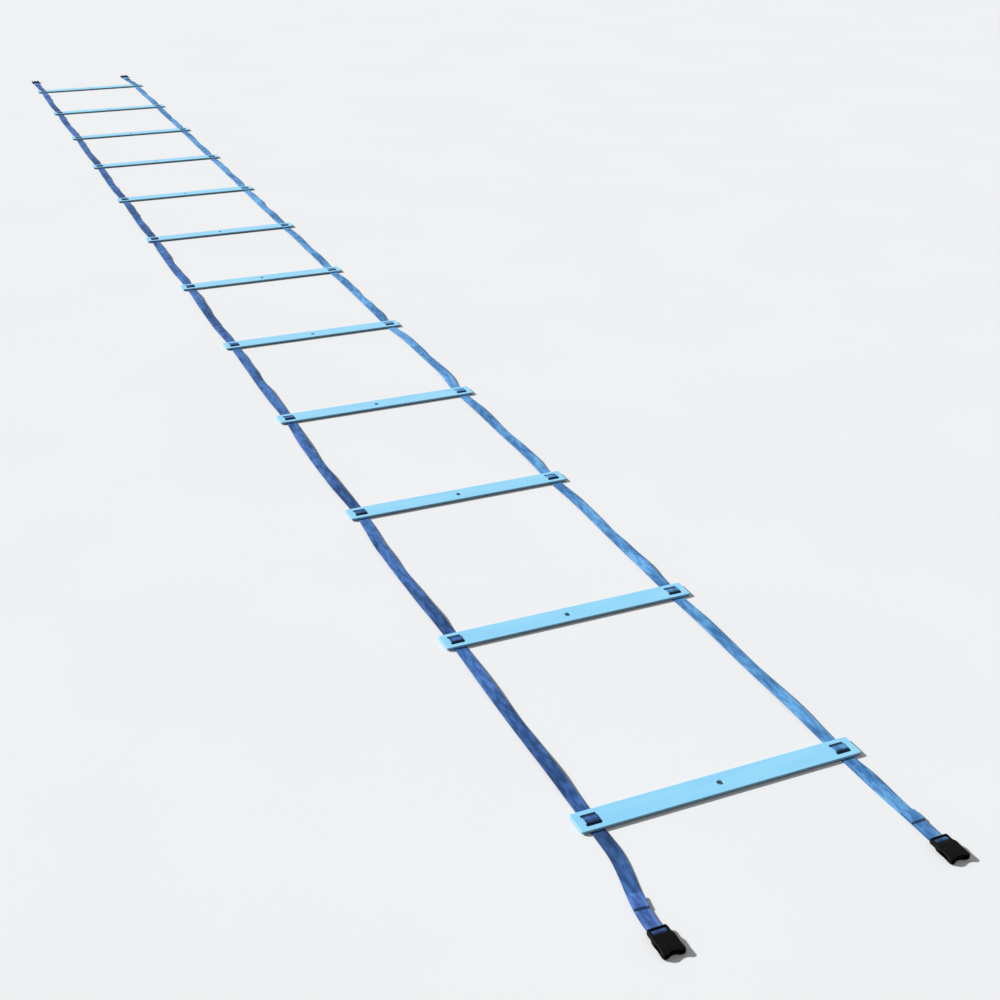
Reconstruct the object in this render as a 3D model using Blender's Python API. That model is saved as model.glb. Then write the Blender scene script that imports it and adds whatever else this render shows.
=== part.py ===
"""Agility ladder: flat rungs woven onto two webbing straps that end in side-release buckle halves.

The ladder lies flat along Y, as it does in use. Left is -X, right is +X, near is -Y and far is +Y.
"""

import math

import bmesh
import bpy
from mathutils import Matrix, Vector

# Ladder, whose bays hang together from a middle one
RUNG_COUNT = 12
MIDDLE_BAY = 6
RUNG_PITCH = 0.500
STRAP_SPACING = 0.416

# Rung, a flat slat with two slots at each end and a small hole in the middle
RUNG_END_LENGTH = 0.0245
RUNG_WIDTH = 0.042
RUNG_THICKNESS = 0.004
RUNG_CORNER_RADIUS = 0.003
RUNG_EDGE_CHAMFER = 0.0005
CENTRE_HOLE_DIAMETER = 0.010
BRIDGE_WIDTH = 0.014
SLOT_WIDTH = 0.005
SLOT_CORNER_RADIUS = 0.0012
SLOT_SIDE_CLEARANCE = 0.001

# Webbing
WEBBING_WIDTH = 0.022
WEBBING_THICKNESS = 0.0015
SEAT_GAP = 0.0003

# Strap tails, from the middle of the end rung to the buckle's bar
TAIL_LENGTH = 0.228
TAB_LENGTH = 0.071
HEM_LENGTH = 0.022
HEM_STEP_LENGTH = 0.002
HEM_FOLD_ARC = (90, 230)
EYE_LENGTH = 0.015

# How far each tail lies out to its side, and between which shares of its length it swings there
TAIL_SWING = {
    ("near", "left"): 0.020,
    ("near", "right"): 0.004,
    ("far", "left"): 0.004,
    ("far", "right"): -0.010,
}
SWING_START_SHARE = 0.26
SWING_END_SHARE = 0.90
SWING_STEPS = 5

# Buckle, sizes that the socket and the plug share. The keeper is an outer bar that holds the sewn tab down
BAR_DIAMETER = 0.004
KEEPER_SETBACK = 0.0072
KEEPER_WIDTH = 0.0023
CHEEK_THICKNESS = 0.003
BUCKLE_SIDE_CLEARANCE = 0.001
MATING_CLEARANCE = 0.0005
PLUG_REACH = 0.030
ARM_HEIGHT = 0.0045
WINDOW_SETBACK = 0.008
WINDOW_LENGTH = 0.0145

# Socket
SOCKET_WALL = 0.002
SOCKET_SIDE_WALL = 0.0032
BACK_WALL = 0.003
SECTION_CORNER_RADIUS = 0.0026
SECTION_CORNER_LIMIT_SHARE = 0.95
MOUTH_FLARE = 0.0005
MOUTH_FLARE_DEPTH = 0.0012
THUMB_NOTCH_WIDTH = 0.018
THUMB_NOTCH_DEPTH = 0.0035

# The housing from its keeper to its mouth: place along it, share of its width, share of its height
SOCKET_SECTION_SHARES = (
    (0.00, 0.84, 0.82),
    (0.03, 0.88, 0.88),
    (0.09, 0.90, 0.88),
    (0.25, 0.90, 0.84),
    (0.38, 1.00, 1.00),
    (0.52, 0.99, 1.00),
    (0.68, 0.96, 1.00),
    (0.84, 0.99, 1.00),
    (0.96, 1.00, 0.97),
    (1.00, 0.95, 0.90),
)

# Plug
FRAME_HEIGHT = 0.0082
FRAME_CORNER_RADIUS = 0.0013
FRAME_CHAMFER = 0.0004
ROOT_LENGTH = 0.005
ARM_INSET = 0.002
ARM_THICKNESS = 0.0022
ARM_CHAMFER = 0.0003
HEAD_PROUD = 0.0026
TONGUE_WIDTH = 0.005
TONGUE_HEIGHT = 0.0032
TONGUE_LENGTH = 0.027
TONGUE_NOSE_LENGTH = 0.004

# The barbed head's outer edge past its shoulder: share of the way from shoulder to nose, share of its depth
HEAD_RAMP_SHARES = ((0.05, 1.00), (0.25, 0.92), (0.45, 0.66), (0.65, 0.28), (0.85, -0.06), (0.96, -0.32))

# Facets
ARC_STEPS = 4
CORNER_STEPS = 2
HOLE_STEPS = 12
BAR_STEPS = 16
NOTCH_STEPS = 48
SECTION_CORNER_STEPS = 3
SHARP_ANGLE = math.radians(40)

# How far a cutter runs past the face that it cuts
CUT_OVERRUN = 0.002

# Derived sizes
RUNG_LENGTH = STRAP_SPACING + 2 * RUNG_END_LENGTH
HALF_THICKNESS = WEBBING_THICKNESS / 2
RUNG_BOTTOM = WEBBING_THICKNESS + SEAT_GAP
RUNG_TOP = RUNG_BOTTOM + RUNG_THICKNESS
BEND_RADIUS = SEAT_GAP + HALF_THICKNESS
BAR_RADIUS = BAR_DIAMETER / 2
EYE_RADIUS = BAR_RADIUS + BEND_RADIUS
EYE_OUTER_RADIUS = EYE_RADIUS + HALF_THICKNESS
STRAP_ROOM = WEBBING_WIDTH + 2 * BUCKLE_SIDE_CLEARANCE
FRAME_WIDTH = STRAP_ROOM + 2 * CHEEK_THICKNESS
FRAME_START = -KEEPER_SETBACK - KEEPER_WIDTH / 2
KEEPER_INNER_EDGE = KEEPER_WIDTH / 2 - KEEPER_SETBACK
FRAME_INNER_END = EYE_OUTER_RADIUS + 2 * SEAT_GAP
PLUG_WIDTH = FRAME_WIDTH - 2 * ARM_INSET
CAVITY_WIDTH = PLUG_WIDTH + 2 * MATING_CLEARANCE
CAVITY_HEIGHT = ARM_HEIGHT + 2 * MATING_CLEARANCE
CAVITY_DEPTH = PLUG_REACH + 2 * MATING_CLEARANCE
SOCKET_WIDTH = CAVITY_WIDTH + 2 * SOCKET_SIDE_WALL
SOCKET_HEIGHT = CAVITY_HEIGHT + 2 * SOCKET_WALL
SOCKET_MOUTH = FRAME_INNER_END + BACK_WALL + CAVITY_DEPTH
PLUG_ROOT_END = FRAME_INNER_END + ROOT_LENGTH
ARM_PIVOT_X = (PLUG_WIDTH - ARM_THICKNESS) / 2
SOCKET_BAR_HEIGHT = max(EYE_OUTER_RADIUS, SOCKET_HEIGHT / 2)
PLUG_BAR_HEIGHT = max(EYE_OUTER_RADIUS, FRAME_HEIGHT / 2)
THUMB_NOTCH_RADIUS = (THUMB_NOTCH_WIDTH ** 2 / 4 + THUMB_NOTCH_DEPTH ** 2) / (2 * THUMB_NOTCH_DEPTH)
SWING_START = SWING_START_SHARE * TAIL_LENGTH
SWING_LENGTH = SWING_END_SHARE * TAIL_LENGTH - SWING_START

SIDE_SIGN = {"left": -1, "right": 1}
END_SIGN = {"near": -1, "far": 1}


def clear_scene():
    for obj in list(bpy.data.objects):
        bpy.data.objects.remove(obj, do_unlink=True)


def new_collection(name):
    collection = bpy.data.collections.new(name)
    bpy.context.scene.collection.children.link(collection)
    return collection


def plastic(name, colour, roughness):
    """A Principled material for a moulded or woven plastic, with no metal in it."""
    material = bpy.data.materials.new(name)
    material.use_nodes = True
    shader = material.node_tree.nodes["Principled BSDF"]
    shader.inputs["Base Color"].default_value = (*colour, 1)
    shader.inputs["Roughness"].default_value = roughness
    shader.inputs["Metallic"].default_value = 0
    return material


def new_object(name, mesh, collection, material=None):
    obj = bpy.data.objects.new(name, mesh)
    collection.objects.link(obj)
    if material and not mesh.materials:
        mesh.materials.append(material)
    return obj


def arc(centre, radius, start, end, steps):
    """Points on an arc from the start angle to the end angle, in degrees."""
    angles = [math.radians(start + (end - start) * n / steps) for n in range(steps + 1)]
    return [(centre[0] + radius * math.cos(a), centre[1] + radius * math.sin(a)) for a in angles]


def rounded_rectangle(centre, width, height, radius, steps):
    """Outline of a rectangle with round corners, anticlockwise from its lower right corner."""
    points = []
    for turn, (sx, sy) in enumerate(((1, -1), (1, 1), (-1, 1), (-1, -1))):
        corner = (centre[0] + sx * (width / 2 - radius), centre[1] + sy * (height / 2 - radius))
        points += arc(corner, radius, 90 * turn - 90, 90 * turn, steps)
    return points


def outline_mesh(name, loops, depth, chamfer=0):
    """A flat outline in XY, with its holes, made depth thick along Z and centred on Z = 0."""
    curve = bpy.data.curves.new(name, "CURVE")
    curve.dimensions = "2D"
    curve.fill_mode = "BOTH"
    curve.extrude = depth / 2 - chamfer
    curve.bevel_depth = chamfer
    curve.bevel_resolution = 0
    curve.offset = -chamfer
    for loop in loops:
        spline = curve.splines.new("POLY")
        spline.points.add(len(loop) - 1)
        for point, (x, y) in zip(spline.points, loop):
            point.co = (x, y, 0, 1)
        spline.use_cyclic_u = True
    holder = bpy.data.objects.new(name + "_outline", curve)
    bpy.context.scene.collection.objects.link(holder)
    graph = bpy.context.evaluated_depsgraph_get()
    mesh = bpy.data.meshes.new_from_object(holder.evaluated_get(graph))
    bpy.data.objects.remove(holder)
    bm = bmesh.new()
    bm.from_mesh(mesh)
    bmesh.ops.remove_doubles(bm, verts=bm.verts, dist=SEAT_GAP / 100)
    bmesh.ops.recalc_face_normals(bm, faces=bm.faces)
    bm.to_mesh(mesh)
    bm.free()
    mesh.name = name
    return mesh


def loft_mesh(name, stations):
    """A closed body through rounded sections: each is its place along Y, half width, half height, corner."""
    bm = bmesh.new()
    rings = []
    for y, half_width, half_height, radius in stations:
        outline = rounded_rectangle((0, 0), 2 * half_width, 2 * half_height, radius, SECTION_CORNER_STEPS)
        rings.append([bm.verts.new((x, y, z)) for x, z in outline])
    for ring, following in zip(rings, rings[1:]):
        for n, vert in enumerate(ring):
            after = (n + 1) % len(ring)
            bm.faces.new((vert, ring[after], following[after], following[n]))
    bm.faces.new(rings[0])
    bm.faces.new(rings[-1])
    bmesh.ops.recalc_face_normals(bm, faces=bm.faces)
    mesh = bpy.data.meshes.new(name)
    bm.to_mesh(mesh)
    bm.free()
    return mesh


def box_mesh(name, low, high):
    """A box between two corners."""
    bm = bmesh.new()
    bmesh.ops.create_cube(bm, size=1)
    middle = (Vector(low) + Vector(high)) / 2
    size = Vector(high) - Vector(low)
    bmesh.ops.transform(bm, matrix=Matrix.Translation(middle) @ Matrix.Diagonal((*size, 1)), verts=bm.verts)
    mesh = bpy.data.meshes.new(name)
    bm.to_mesh(mesh)
    bm.free()
    return mesh


def round_mesh(name, radius, length, steps):
    """A round bar along Z, centred on the origin."""
    bm = bmesh.new()
    bmesh.ops.create_cone(bm, cap_ends=True, segments=steps, radius1=radius, radius2=radius, depth=length)
    mesh = bpy.data.meshes.new(name)
    bm.to_mesh(mesh)
    bm.free()
    return mesh


def bar_mesh(name, length):
    """The round bar that the webbing turns on, along X."""
    mesh = round_mesh(name, BAR_RADIUS, length, BAR_STEPS)
    mesh.transform(Matrix.Rotation(math.radians(90), 4, "Y"))
    return mesh


def shade(mesh):
    mesh.shade_smooth()
    mesh.set_sharp_from_angle(angle=SHARP_ANGLE)


def add_boolean(obj, cutter, operation):
    """Cuts or joins with a body of the cutters' collection, which follows the object it works on."""
    cutter.parent = obj
    cutter.hide_render = True
    cutter.display_type = "WIRE"
    boolean = obj.modifiers.new(cutter.name, "BOOLEAN")
    boolean.operation = operation
    boolean.object = cutter
    boolean.solver = "EXACT"


def rung_mesh(material):
    """The slat, with its slots and centre hole, thickness along Z and its underside at Z = 0."""
    slot_length = WEBBING_WIDTH + 2 * SLOT_SIDE_CLEARANCE
    slot_y = (BRIDGE_WIDTH + SLOT_WIDTH) / 2
    loops = [rounded_rectangle((0, 0), RUNG_LENGTH, RUNG_WIDTH, RUNG_CORNER_RADIUS, CORNER_STEPS)]
    for x in (-STRAP_SPACING / 2, STRAP_SPACING / 2):
        for y in (-slot_y, slot_y):
            slot = rounded_rectangle((x, y), slot_length, SLOT_WIDTH, SLOT_CORNER_RADIUS, CORNER_STEPS)
            loops.append(slot)
    hole = arc((0, 0), CENTRE_HOLE_DIAMETER / 2, 0, 360, HOLE_STEPS)
    loops.append(hole[:-1])
    mesh = outline_mesh("rung", loops, RUNG_THICKNESS, RUNG_EDGE_CHAMFER)
    mesh.transform(Matrix.Translation((0, 0, RUNG_THICKNESS / 2)))
    mesh.materials.append(material)
    shade(mesh)
    return mesh


def weave_side(offset):
    """One side of the webbing from the rung's bridge out under its land, offset from the centre line.

    The webbing lies over the bridge, turns about the bridge's top corner, runs down through the slot
    and turns about the land's lower corner to lie flat under it.
    """
    bridge_corner = (BRIDGE_WIDTH / 2, RUNG_TOP)
    land_corner = (BRIDGE_WIDTH / 2 + SLOT_WIDTH, RUNG_BOTTOM)
    diagonal = math.hypot(SLOT_WIDTH, RUNG_THICKNESS)
    slope = math.degrees(math.atan2(RUNG_THICKNESS, SLOT_WIDTH) + math.asin(2 * BEND_RADIUS / diagonal))
    points = arc(bridge_corner, BEND_RADIUS + offset, 90, 90 - slope, ARC_STEPS)
    points += arc(land_corner, BEND_RADIUS - offset, 270 - slope, 270, ARC_STEPS)
    return points


def mirrored(points):
    """The same points on the other side of Y = 0, in the order that leads up to the middle."""
    return [(-y, z) for y, z in reversed(points)]


def tangent_angle(point, centre, radius, above):
    """Angle, in degrees, at which a line from the point touches a circle, above or below it."""
    to_point = math.atan2(point[1] - centre[1], point[0] - centre[0]) % (2 * math.pi)
    swing = math.acos(radius / math.dist(point, centre))
    return math.degrees(to_point - swing if above else to_point + swing)


def strap_loops(bar_height=None):
    """Side outlines in YZ of one bay's webbing, about its rung. With a bar height it ends in a sewn eye."""
    fold = RUNG_PITCH / 2 - SEAT_GAP / 2
    lower = [(-fold, 0)] + mirrored(weave_side(-HALF_THICKNESS)) + weave_side(-HALF_THICKNESS)
    upper = [(-fold, WEBBING_THICKNESS)] + mirrored(weave_side(HALF_THICKNESS)) + weave_side(HALF_THICKNESS)
    if bar_height is None:
        lower.append((fold, 0))
        upper.append((fold, WEBBING_THICKNESS))
        return [lower + upper[::-1]]

    eye_start = TAIL_LENGTH - EYE_LENGTH
    bar = (TAIL_LENGTH, bar_height)
    low_angle = tangent_angle((eye_start, HALF_THICKNESS), bar, EYE_RADIUS, above=False) - 360
    high_angle = tangent_angle((eye_start, 3 * HALF_THICKNESS), bar, EYE_RADIUS, above=True)
    lower.append((eye_start, 0))
    lower += arc(bar, EYE_OUTER_RADIUS, low_angle, high_angle, 3 * ARC_STEPS)
    lower.append((eye_start, 2 * WEBBING_THICKNESS))

    hem_start = TAIL_LENGTH - TAB_LENGTH
    hem_end = hem_start + HEM_LENGTH
    lower.append((hem_end + HEM_STEP_LENGTH, 2 * WEBBING_THICKNESS))
    lower.append((hem_end, 3 * WEBBING_THICKNESS))
    hem_fold = (hem_start + WEBBING_THICKNESS, 2 * WEBBING_THICKNESS)
    lower += arc(hem_fold, WEBBING_THICKNESS, *HEM_FOLD_ARC, ARC_STEPS)
    lower.append((lower[-1][0], WEBBING_THICKNESS))

    eye = [(eye_start, WEBBING_THICKNESS)]
    eye += arc(bar, BAR_RADIUS + SEAT_GAP, low_angle, high_angle, 3 * ARC_STEPS)
    return [lower + upper[::-1], eye]


def lay(y):
    """Share of its swing, and slope for a swing of 1, of a tail at a distance from its rung's middle."""
    share = min(max((y - SWING_START) / SWING_LENGTH, 0), 1)
    return share * share * (3 - 2 * share), 6 * share * (1 - share) / SWING_LENGTH


def split_across(mesh, places):
    """Splits a mesh's faces at places along Y, so that it can bend there."""
    bm = bmesh.new()
    bm.from_mesh(mesh)
    for y in places:
        everything = bm.verts[:] + bm.edges[:] + bm.faces[:]
        place = (0, y, 0)
        bmesh.ops.bisect_plane(bm, geom=everything, dist=SEAT_GAP / 100, plane_co=place, plane_no=(0, 1, 0))
    bmesh.ops.triangulate(bm, faces=bm.faces)
    bm.to_mesh(mesh)
    bm.free()


def strap_mesh(name, material, loops, end=None, side=None):
    """Webbing as wide as it is along X. An end strap has its tail towards that end, swung as it lies."""
    sign = END_SIGN[end] if end else 1
    mesh = outline_mesh(name, [[(sign * y, z) for y, z in loop] for loop in loops], WEBBING_WIDTH)
    turn = Matrix(((0, 0, 1), (1, 0, 0), (0, 1, 0))).to_4x4()
    mesh.transform(turn)
    if end:
        steps = [SWING_START + SWING_LENGTH * n / SWING_STEPS for n in range(SWING_STEPS + 1)]
        split_across(mesh, [sign * y for y in steps])
        swing = SIDE_SIGN[side] * TAIL_SWING[end, side]
        for vert in mesh.vertices:
            shift, slope = (swing * value for value in lay(sign * vert.co.y))
            across = vert.co.x / math.hypot(1, slope)
            vert.co.x = shift + across
            vert.co.y -= sign * slope * across
    mesh.materials.append(material)
    shade(mesh)
    return mesh


def keeper_underside(bar_height):
    """How far above the bar's middle the keeper clears the tab, which slopes up to turn about the bar."""
    tab = (-EYE_LENGTH, 3 * HALF_THICKNESS - bar_height)
    touch = math.radians(tangent_angle(tab, (0, 0), EYE_RADIUS, above=True))
    tab_top = (EYE_OUTER_RADIUS - KEEPER_INNER_EDGE * math.cos(touch)) / math.sin(touch)
    return tab_top + SEAT_GAP


def strap_cuts(height, bar_height):
    """Boxes that clear a buckle's frame for the webbing: round the bar, and in under the keeper."""
    half = STRAP_ROOM / 2
    room = ((-half, KEEPER_INNER_EDGE, -height), (half, FRAME_INNER_END, height))
    entry_end = (half, KEEPER_INNER_EDGE + CUT_OVERRUN, keeper_underside(bar_height))
    return {"strap_room": room, "strap_entry": ((-half, FRAME_START - CUT_OVERRUN, -height), entry_end)}


def cut_boxes(obj, cuts, cutters):
    for cut, (low, high) in cuts.items():
        add_boolean(obj, new_object(f"{obj.name}_{cut}", box_mesh(cut, low, high), cutters), "DIFFERENCE")


def build_socket(name, parts, cutters, material):
    """The buckle's socket, with its bar on the origin and its mouth towards +Y."""
    length = SOCKET_MOUTH - FRAME_START
    stations = []
    for along, wide, high in SOCKET_SECTION_SHARES:
        half = (wide * SOCKET_WIDTH / 2, high * SOCKET_HEIGHT / 2)
        radius = min(SECTION_CORNER_RADIUS, SECTION_CORNER_LIMIT_SHARE * half[1])
        stations.append((FRAME_START + along * length, *half, radius))
    mesh = loft_mesh(name, stations)
    socket = new_object(name, mesh, parts, material)

    beyond = SOCKET_MOUTH + CUT_OVERRUN
    half_cavity = (CAVITY_WIDTH / 2, CAVITY_HEIGHT / 2)
    mouth = (half_cavity[0] + MOUTH_FLARE, half_cavity[1] + MOUTH_FLARE)
    window_start = SOCKET_MOUTH - WINDOW_SETBACK - WINDOW_LENGTH
    cuts = strap_cuts(SOCKET_HEIGHT, SOCKET_BAR_HEIGHT) | {
        "cavity": (
            (-half_cavity[0], SOCKET_MOUTH - CAVITY_DEPTH, -half_cavity[1]),
            (half_cavity[0], beyond, half_cavity[1]),
        ),
        "mouth": ((-mouth[0], SOCKET_MOUTH - MOUTH_FLARE_DEPTH, -mouth[1]), (mouth[0], beyond, mouth[1])),
        "windows": (
            (-SOCKET_WIDTH, window_start, -half_cavity[1]),
            (SOCKET_WIDTH, window_start + WINDOW_LENGTH, half_cavity[1]),
        ),
    }
    cut_boxes(socket, cuts, cutters)
    notch_mesh = round_mesh("thumb_notch", THUMB_NOTCH_RADIUS, 2 * SOCKET_HEIGHT, NOTCH_STEPS)
    notch_mesh.transform(Matrix.Translation((0, SOCKET_MOUTH - THUMB_NOTCH_DEPTH + THUMB_NOTCH_RADIUS, 0)))
    add_boolean(socket, new_object(name + "_thumb_notch", notch_mesh, cutters), "DIFFERENCE")
    bar = new_object(name + "_bar", bar_mesh("bar", STRAP_ROOM + CHEEK_THICKNESS), cutters)
    add_boolean(socket, bar, "UNION")
    shade(mesh)
    return socket


def plug_frame_outline():
    """Plan of the plug's frame, from its keeper to the root block, which has a hollow for each arm."""
    half = FRAME_WIDTH / 2
    hollow = ARM_THICKNESS / 2 + SEAT_GAP
    radius = min(FRAME_CORNER_RADIUS, ARM_INSET - 2 * SEAT_GAP)
    keeper_corner = (half - radius, FRAME_START + radius)
    root_corner = (half - radius, PLUG_ROOT_END - radius)
    right = arc(keeper_corner, radius, -90, 0, CORNER_STEPS)
    right += arc(root_corner, radius, 0, 90, CORNER_STEPS)
    right += arc((ARM_PIVOT_X, PLUG_ROOT_END), hollow, 0, -180, 2 * CORNER_STEPS)
    left = [(-x, y) for x, y in reversed(right)]
    return right + left


def build_plug(name, parts, cutters, material):
    """The buckle's plug without its arms, with its bar on the origin and its tongue towards +Y."""
    mesh = outline_mesh(name, [plug_frame_outline()], FRAME_HEIGHT, FRAME_CHAMFER)
    plug = new_object(name, mesh, parts, material)
    cut_boxes(plug, strap_cuts(FRAME_HEIGHT, PLUG_BAR_HEIGHT), cutters)
    bar = new_object(name + "_bar", bar_mesh("bar", STRAP_ROOM + CHEEK_THICKNESS), cutters)
    add_boolean(plug, bar, "UNION")

    half = TONGUE_WIDTH / 2
    tip = PLUG_ROOT_END + TONGUE_LENGTH
    tongue_start = PLUG_ROOT_END - ROOT_LENGTH / 2
    shoulder = tip - TONGUE_NOSE_LENGTH
    tongue_loop = [(-half, tongue_start), (half, tongue_start), (half, shoulder)]
    tongue_loop += [(half / 2, tip), (-half / 2, tip), (-half, shoulder)]
    tongue = new_object(name + "_tongue", outline_mesh("tongue", [tongue_loop], TONGUE_HEIGHT), cutters)
    add_boolean(plug, tongue, "UNION")
    shade(mesh)
    return plug


def arm_outline(outward):
    """Plan of a release arm about its root, with the barbed head on its outer side, which is +X or -X."""
    half = ARM_THICKNESS / 2
    shoulder = WINDOW_SETBACK + MATING_CLEARANCE
    run = PLUG_REACH - shoulder
    points = arc((0, 0), half, 180, 360, 2 * CORNER_STEPS)
    points.append((half, shoulder))
    for along, proud in HEAD_RAMP_SHARES:
        points.append((half + proud * HEAD_PROUD, shoulder + along * run))
    points.append((-half / 2, PLUG_REACH))
    points.append((-half, PLUG_REACH - half / 2))
    return [(outward * x, y) for x, y in points]


def build_arm(name, outward, parts, material):
    """One of the plug's two springy arms, with its root on the origin."""
    mesh = outline_mesh(name, [arm_outline(outward)], ARM_HEIGHT, ARM_CHAMFER)
    arm = new_object(name, mesh, parts, material)
    shade(mesh)
    return arm


def pivot(name, location, collection, parent=None):
    """An empty that carries the pieces of one moving body."""
    empty = bpy.data.objects.new(name, None)
    collection.objects.link(empty)
    empty.empty_display_size = RUNG_WIDTH
    empty.parent = parent
    empty.location = location
    return empty


def attach(obj, parent, location, turn=0):
    obj.parent = parent
    obj.location = location
    obj.rotation_euler = (0, 0, turn)


def rung_from_fold(number):
    """Place of a bay's rung along Y from the bay's own fold line, which faces the middle bay."""
    if number == MIDDLE_BAY:
        return 0
    return math.copysign(RUNG_PITCH / 2, number - MIDDLE_BAY)


def bay_pivots(parts, root):
    """One empty for each bay on its fold line, each carried by its neighbour on the middle's side."""
    bays = {MIDDLE_BAY: pivot(f"bay_{MIDDLE_BAY:02d}", (0, 0, HALF_THICKNESS), parts, root)}
    outward = list(range(MIDDLE_BAY + 1, RUNG_COUNT + 1)) + list(range(MIDDLE_BAY - 1, 0, -1))
    for number in outward:
        carrier = number - 1 if number > MIDDLE_BAY else number + 1
        place = (0, rung_from_fold(carrier) + rung_from_fold(number), 0)
        bays[number] = pivot(f"bay_{number:02d}", place, parts, bays[carrier])
    return bays


def build_bays(parts, root, rung_plastic, webbing):
    """The rungs and the webbing, one empty for each bay, nested as they fold."""
    shared_rung = rung_mesh(rung_plastic)
    middle_strap = strap_mesh("strap", webbing, strap_loops())
    bar_heights = {"near": SOCKET_BAR_HEIGHT, "far": PLUG_BAR_HEIGHT}
    bays = bay_pivots(parts, root)
    for number, bay in sorted(bays.items()):
        place = rung_from_fold(number)
        rung = new_object(f"rung_{number:02d}", shared_rung, parts)
        attach(rung, bay, (0, place, RUNG_BOTTOM - HALF_THICKNESS))
        end = {1: "near", RUNG_COUNT: "far"}.get(number)
        for side, sign in SIDE_SIGN.items():
            name = f"{side}_strap_{number:02d}"
            mesh = middle_strap
            if end:
                mesh = strap_mesh(name, webbing, strap_loops(bar_heights[end]), end, side)
            attach(new_object(name, mesh, parts), bay, (sign * STRAP_SPACING / 2, place, -HALF_THICKNESS))
    return bays


def tail_place(end, side, bar_height):
    """Where a tail's bar lies in its bay's frame, and the turn about Z that points its buckle outward."""
    x = SIDE_SIGN[side] * (STRAP_SPACING / 2 + TAIL_SWING[end, side])
    y = END_SIGN[end] * (RUNG_PITCH / 2 + TAIL_LENGTH)
    return (x, y, bar_height - HALF_THICKNESS), 0 if end == "far" else math.pi


def build_buckles(parts, cutters, bays, black):
    """Sockets on the near tails and plugs on the far tails, each on its own bar."""
    for side in SIDE_SIGN:
        socket = build_socket(f"near_{side}_socket", parts, cutters, black)
        attach(socket, bays[1], *tail_place("near", side, SOCKET_BAR_HEIGHT))
        plug = build_plug(f"far_{side}_plug", parts, cutters, black)
        attach(plug, bays[RUNG_COUNT], *tail_place("far", side, PLUG_BAR_HEIGHT))
        for arm_side, outward in SIDE_SIGN.items():
            arm = build_arm(f"far_{side}_plug_{arm_side}_arm", outward, parts, black)
            attach(arm, plug, (outward * ARM_PIVOT_X, PLUG_ROOT_END, 0))


def centre_on_origin(root, parts):
    """Moves the whole ladder so that the origin is at the middle of its footprint."""
    bpy.context.view_layer.update()
    graph = bpy.context.evaluated_depsgraph_get()
    corners = []
    for obj in parts.objects:
        if obj.type != "MESH":
            continue
        evaluated = obj.evaluated_get(graph)
        corners += [evaluated.matrix_world @ vert.co for vert in evaluated.data.vertices]
    for axis in range(2):
        values = [corner[axis] for corner in corners]
        root.location[axis] -= (min(values) + max(values)) / 2


def main():
    clear_scene()
    parts = new_collection("agility_ladder")
    cutters = new_collection("cutters")
    rung_plastic = plastic("rung_blue", (0.36, 0.72, 0.98), 0.38)
    webbing = plastic("webbing_blue", (0.07, 0.17, 0.46), 0.8)
    black = plastic("buckle_black", (0.012, 0.012, 0.014), 0.42)
    root = pivot("ladder", (0, 0, 0), parts)
    bays = build_bays(parts, root, rung_plastic, webbing)
    build_buckles(parts, cutters, bays, black)
    centre_on_origin(root, parts)


main()
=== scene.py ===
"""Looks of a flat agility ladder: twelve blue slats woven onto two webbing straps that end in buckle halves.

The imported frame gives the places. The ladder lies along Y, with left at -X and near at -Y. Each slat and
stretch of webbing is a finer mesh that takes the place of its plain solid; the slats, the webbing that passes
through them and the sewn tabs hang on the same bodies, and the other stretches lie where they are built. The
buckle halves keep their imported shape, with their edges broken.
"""

import logging
import math
import random
from collections.abc import Iterable, Mapping, Sequence
from dataclasses import dataclass, field
from enum import Enum
from typing import Union

import bmesh
import bpy
from bmesh.types import BMesh, BMVert
from bpy.types import ID, Material, Mesh, Node, NodeSocket, Object, ShaderNodeTree
from mathutils import Matrix, Vector


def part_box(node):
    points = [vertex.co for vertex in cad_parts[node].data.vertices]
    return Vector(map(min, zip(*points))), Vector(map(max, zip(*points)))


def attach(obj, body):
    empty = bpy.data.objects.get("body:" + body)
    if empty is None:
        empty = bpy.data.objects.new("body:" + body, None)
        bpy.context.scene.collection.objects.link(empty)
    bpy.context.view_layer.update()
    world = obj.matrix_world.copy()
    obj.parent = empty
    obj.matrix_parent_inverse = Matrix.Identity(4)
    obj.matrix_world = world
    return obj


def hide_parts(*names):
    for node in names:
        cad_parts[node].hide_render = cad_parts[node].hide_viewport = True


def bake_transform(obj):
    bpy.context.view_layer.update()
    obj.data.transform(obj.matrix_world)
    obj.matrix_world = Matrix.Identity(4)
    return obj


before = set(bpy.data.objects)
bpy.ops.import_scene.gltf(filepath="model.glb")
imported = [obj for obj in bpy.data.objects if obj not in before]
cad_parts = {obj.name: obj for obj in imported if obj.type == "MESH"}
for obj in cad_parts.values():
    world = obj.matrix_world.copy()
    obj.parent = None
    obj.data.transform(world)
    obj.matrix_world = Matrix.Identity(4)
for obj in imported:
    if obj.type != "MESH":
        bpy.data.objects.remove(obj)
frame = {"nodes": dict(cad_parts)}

MILLIMETRE = 0.001
PHOTO_WIDTH_PX = 1000
SENSOR_WIDTH_MM = 36.0
SHARP_ANGLE = 38.0

log = logging.getLogger("agility_ladder")

Point = tuple[float, float]
Range = tuple[float, float]
Colour = tuple[float, float, float]
Number = Union["Wire", float]


def mm(value: float) -> float:
    """A length in millimetres as metres."""
    return value * MILLIMETRE


def rise(value: float, low: float, high: float) -> float:
    """A smooth rise from 0 at low to 1 at high."""
    run = min(max((value - low) / (high - low), 0.0), 1.0)
    return run * run * (3 - 2 * run)


def hill(value: float, low: float, high: float, fall: float, end: float) -> float:
    """A smooth rise from 0 at low to 1 at high, and back to 0 between fall and end."""
    return rise(value, low, high) * (1 - rise(value, fall, end))


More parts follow.
